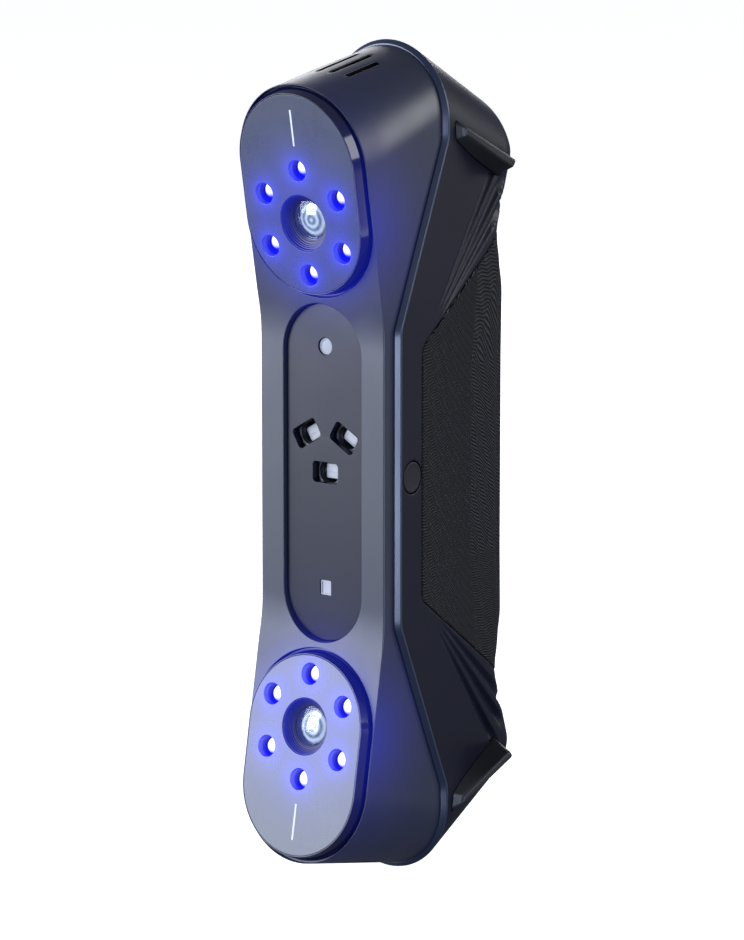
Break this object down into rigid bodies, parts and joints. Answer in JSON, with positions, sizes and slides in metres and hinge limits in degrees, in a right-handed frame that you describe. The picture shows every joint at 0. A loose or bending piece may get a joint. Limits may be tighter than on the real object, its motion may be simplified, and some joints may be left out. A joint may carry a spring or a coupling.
{
  "type": "handheld 3d scanner",
  "caption": "Handheld 3D scanner: two toed-in camera heads with lamp rings joined by a rubber grip, line lasers between them, keys on the back.",
  "frame": {"origin": "middle of the object's box, in the grip between the two camera heads", "axes": "+Z along the length towards the upper head, -Y the way the lenses look, +X across towards the side with the round cover"},
  "size_m": [0.0496, 0.0742, 0.215],
  "materials": {
    "shell_grey": "fine satin texture",
    "trim_blue_grey": "satin",
    "casing_black": "fine matt spark texture",
    "grip_rubber": "fine wavy ribbed texture",
    "plug_rubber": "matt",
    "bumper_rubber": "matt",
    "panel_grey": "satin",
    "plate_grey": "satin",
    "bezel_gloss": "gloss",
    "gloss_black": "gloss",
    "module_black": "matt",
    "hood_black": "matt black anodised",
    "lamp_block": "matt",
    "lamp_white": "clear epoxy",
    "lens_glass": "coated",
    "dark_glass": "polished",
    "diffuser_white": "polished",
    "laser_housing": "black anodised",
    "laser_lens_white": "polished",
    "circuit_board": "solder mask",
    "cast_aluminium": "cast",
    "sink_aluminium": "extruded",
    "barrel_aluminium": "black anodised",
    "brass_insert": "machined",
    "socket_steel": "brushed",
    "screw_steel": "zinc plated",
    "screw_black": "black oxide",
    "light_pipe": "clear",
    "key_rubber": "matt silicone",
    "flex_amber": "polyimide film"
  },
  "bodies": {
    "housing": {"board_screws": "screw_steel", "bumper_lower_left": "bumper_rubber", "bumper_lower_right": "bumper_rubber", "bumper_upper_left": "bumper_rubber", "bumper_upper_right": "bumper_rubber", "case_screws": "screw_black", "centre_panel": "panel_grey", "colour_camera": "module_black", "colour_camera_window": "dark_glass", "data_socket": "socket_steel", "fan_frame": "module_black", "front_shell": "shell_grey", "grip_sleeve": "grip_rubber", "heat_sink": "sink_aluminium", "key_board": "circuit_board", "key_panel": "gloss_black", "left_laser_lens": "laser_lens_white", "left_laser_module": "laser_housing", "lower_camera_bezel": "bezel_gloss", "lower_camera_board": "circuit_board", "lower_camera_housing": "barrel_aluminium", "lower_face_plate": "plate_grey", "lower_flex_cable": "flex_amber", "lower_front_lens": "lens_glass", "lower_led_board": "circuit_board", "lower_led_holder": "lamp_block", "lower_leds": "lamp_white", "lower_lens_barrel": "barrel_aluminium", "lower_lens_hood": "hood_black", "lower_lens_lock_ring": "barrel_aluminium", "main_board": "circuit_board", "middle_laser_lens": "laser_lens_white", "middle_laser_module": "laser_housing", "optical_bench": "cast_aluminium", "power_jack": "module_black", "projector_module": "module_black", "projector_window": "diffuser_white", "rear_casing": "casing_black", "right_laser_lens": "laser_lens_white", "right_laser_module": "laser_housing", "status_light": "light_pipe", "trim_band": "trim_blue_grey", "tripod_insert": "brass_insert", "upper_camera_bezel": "bezel_gloss", "upper_camera_board": "circuit_board", "upper_camera_housing": "barrel_aluminium", "upper_face_plate": "plate_grey", "upper_flex_cable": "flex_amber", "upper_front_lens": "lens_glass", "upper_led_board": "circuit_board", "upper_led_holder": "lamp_block", "upper_leds": "lamp_white", "upper_lens_barrel": "barrel_aluminium", "upper_lens_hood": "hood_black", "upper_lens_lock_ring": "barrel_aluminium"},
    "fan_rotor": {"fan_rotor": "module_black"},
    "tripod_plug": {"tripod_plug": "plug_rubber"},
    "scan_key": {"scan_key": "key_rubber"},
    "plus_key": {"plus_key": "key_rubber"},
    "minus_key": {"minus_key": "key_rubber"}
  },
  "joints": [
    {"name": "scan_key_press", "type": "slide", "parent": "housing", "child": "scan_key", "axis": [0, -1, 0], "range_m": [0, 0.0008], "stiffness_N_per_m": 900},
    {"name": "plus_key_press", "type": "slide", "parent": "housing", "child": "plus_key", "axis": [0, -1, 0], "range_m": [0, 0.0008], "stiffness_N_per_m": 900},
    {"name": "minus_key_press", "type": "slide", "parent": "housing", "child": "minus_key", "axis": [0, -1, 0], "range_m": [0, 0.0008], "stiffness_N_per_m": 900},
    {"name": "fan_spin", "type": "hinge", "parent": "housing", "child": "fan_rotor", "pos_m": [0, 0.01722, 0.0775], "axis": [0, 0, 1], "continuous": true},
    {"name": "tripod_plug_pull", "type": "slide", "parent": "housing", "child": "tripod_plug", "axis": [1, 0, 0], "range_m": [0, 0.04]}
  ]
}
